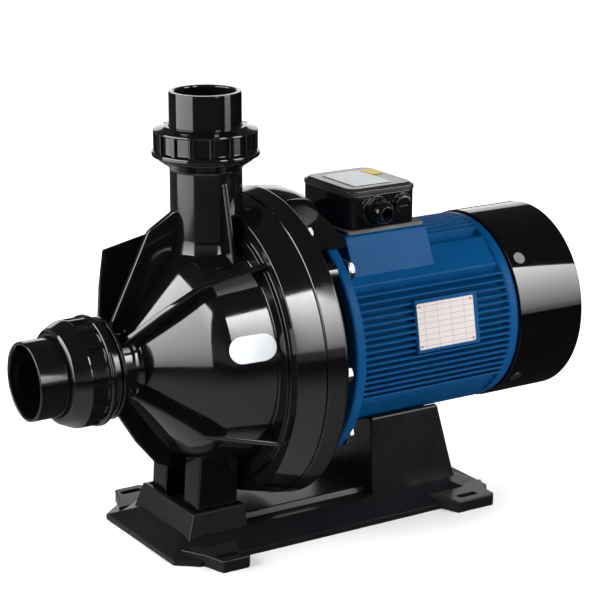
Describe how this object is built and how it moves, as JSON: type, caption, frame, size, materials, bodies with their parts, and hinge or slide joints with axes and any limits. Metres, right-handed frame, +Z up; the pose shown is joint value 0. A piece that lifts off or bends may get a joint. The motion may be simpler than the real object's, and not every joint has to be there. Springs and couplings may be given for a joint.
{
  "type": "pool pump",
  "caption": "Close-coupled pool circulation pump: ribbed plastic casing with union-nut pipe ports, finned blue motor with terminal box, moulded base with slotted lugs.",
  "frame": {"origin": "centre of the pump's bounding box, on the floor under the base", "axes": "+X along the shaft towards the fan cover, suction port at -X; +Z up along the discharge port; -Y is the nameplate side"},
  "size_m": [0.64, 0.337, 0.481],
  "materials": {
    "casing_plastic": "gloss moulded",
    "base_plastic": "satin moulded",
    "blue_paint": "satin enamel on cast aluminium",
    "cover_paint": "gloss enamel on pressed steel",
    "zinc_steel": "zinc plated",
    "bare_steel": "ground steel",
    "rubber": "moulded",
    "copper": "enamelled copper wire",
    "lamination": "stacked electrical steel",
    "label_silver": "printed plate, blank",
    "label_white": "blank label",
    "label_yellow": "blank sticker",
    "gasket": "fibre gasket",
    "ceramic": "fired ceramic",
    "carbon": "carbon seal face in a steel and rubber shell",
    "inner_plastic": "glass-filled plastic"
  },
  "bodies": {
    "pump_body": {"front_casing": "casing_plastic", "suction_neck": "casing_plastic", "discharge_neck": "casing_plastic", "rear_casing": "casing_plastic", "suction_union_tail": "casing_plastic", "discharge_union_tail": "casing_plastic", "terminal_box": "casing_plastic", "terminal_box_lid": "casing_plastic", "gland_body": "casing_plastic", "blanking_plug": "casing_plastic", "base_plate": "base_plastic", "motor_saddle": "base_plastic", "motor_flange": "blue_paint", "motor_frame": "blue_paint", "rear_end_shield": "blue_paint", "fan_cover": "cover_paint", "casing_screw_1": "zinc_steel", "casing_screw_2": "zinc_steel", "casing_screw_3": "zinc_steel", "casing_screw_4": "zinc_steel", "casing_screw_5": "zinc_steel", "casing_screw_6": "zinc_steel", "flange_bolt_1": "zinc_steel", "flange_bolt_2": "zinc_steel", "flange_bolt_3": "zinc_steel", "flange_bolt_4": "zinc_steel", "cover_screw_1": "zinc_steel", "cover_screw_2": "zinc_steel", "cover_screw_3": "zinc_steel", "cover_screw_4": "zinc_steel", "foot_screw_1": "zinc_steel", "foot_screw_2": "zinc_steel", "saddle_screw_1": "zinc_steel", "saddle_screw_2": "zinc_steel", "front_bearing": "bare_steel", "rear_bearing": "bare_steel", "casing_oring": "rubber", "suction_union_oring": "rubber", "discharge_union_oring": "rubber", "stator_windings": "copper", "stator_core": "lamination", "nameplate": "label_silver", "casing_badge": "label_white", "lid_label": "label_white", "warning_label": "label_yellow", "terminal_box_gasket": "gasket", "seal_seat": "ceramic", "diffuser": "inner_plastic", "terminal_block": "inner_plastic"},
    "rotor_assembly": {"motor_shaft": "bare_steel", "rotor_core": "lamination", "impeller": "inner_plastic", "impeller_nut": "bare_steel", "impeller_key": "bare_steel", "seal_head": "carbon", "cooling_fan": "inner_plastic"},
    "suction_nut": {"suction_union_nut": "casing_plastic"},
    "discharge_nut": {"discharge_union_nut": "casing_plastic"},
    "gland_nut": {"gland_cap": "casing_plastic"},
    "drain_screw": {"drain_plug": "casing_plastic"}
  },
  "joints": [
    {"name": "shaft_spin", "type": "hinge", "parent": "pump_body", "child": "rotor_assembly", "pos_m": [0, 0, 0.202], "axis": [1, 0, 0], "continuous": true},
    {"name": "suction_nut_turn", "type": "hinge", "parent": "pump_body", "child": "suction_nut", "pos_m": [-0.261, 0, 0.202], "axis": [-1, 0, 0], "continuous": true},
    {"name": "discharge_nut_turn", "type": "hinge", "parent": "pump_body", "child": "discharge_nut", "pos_m": [-0.105, 0, 0.42], "axis": [0, 0, 1], "continuous": true},
    {"name": "gland_nut_turn", "type": "hinge", "parent": "pump_body", "child": "gland_nut", "pos_m": [0.076, -0.06, 0.341], "axis": [0, -1, 0], "continuous": true},
    {"name": "drain_plug_turn", "type": "hinge", "parent": "pump_body", "child": "drain_screw", "pos_m": [-0.119, 0.07388, 0.10744], "axis": [0, 0.6157, -0.788], "continuous": true}
  ]
}
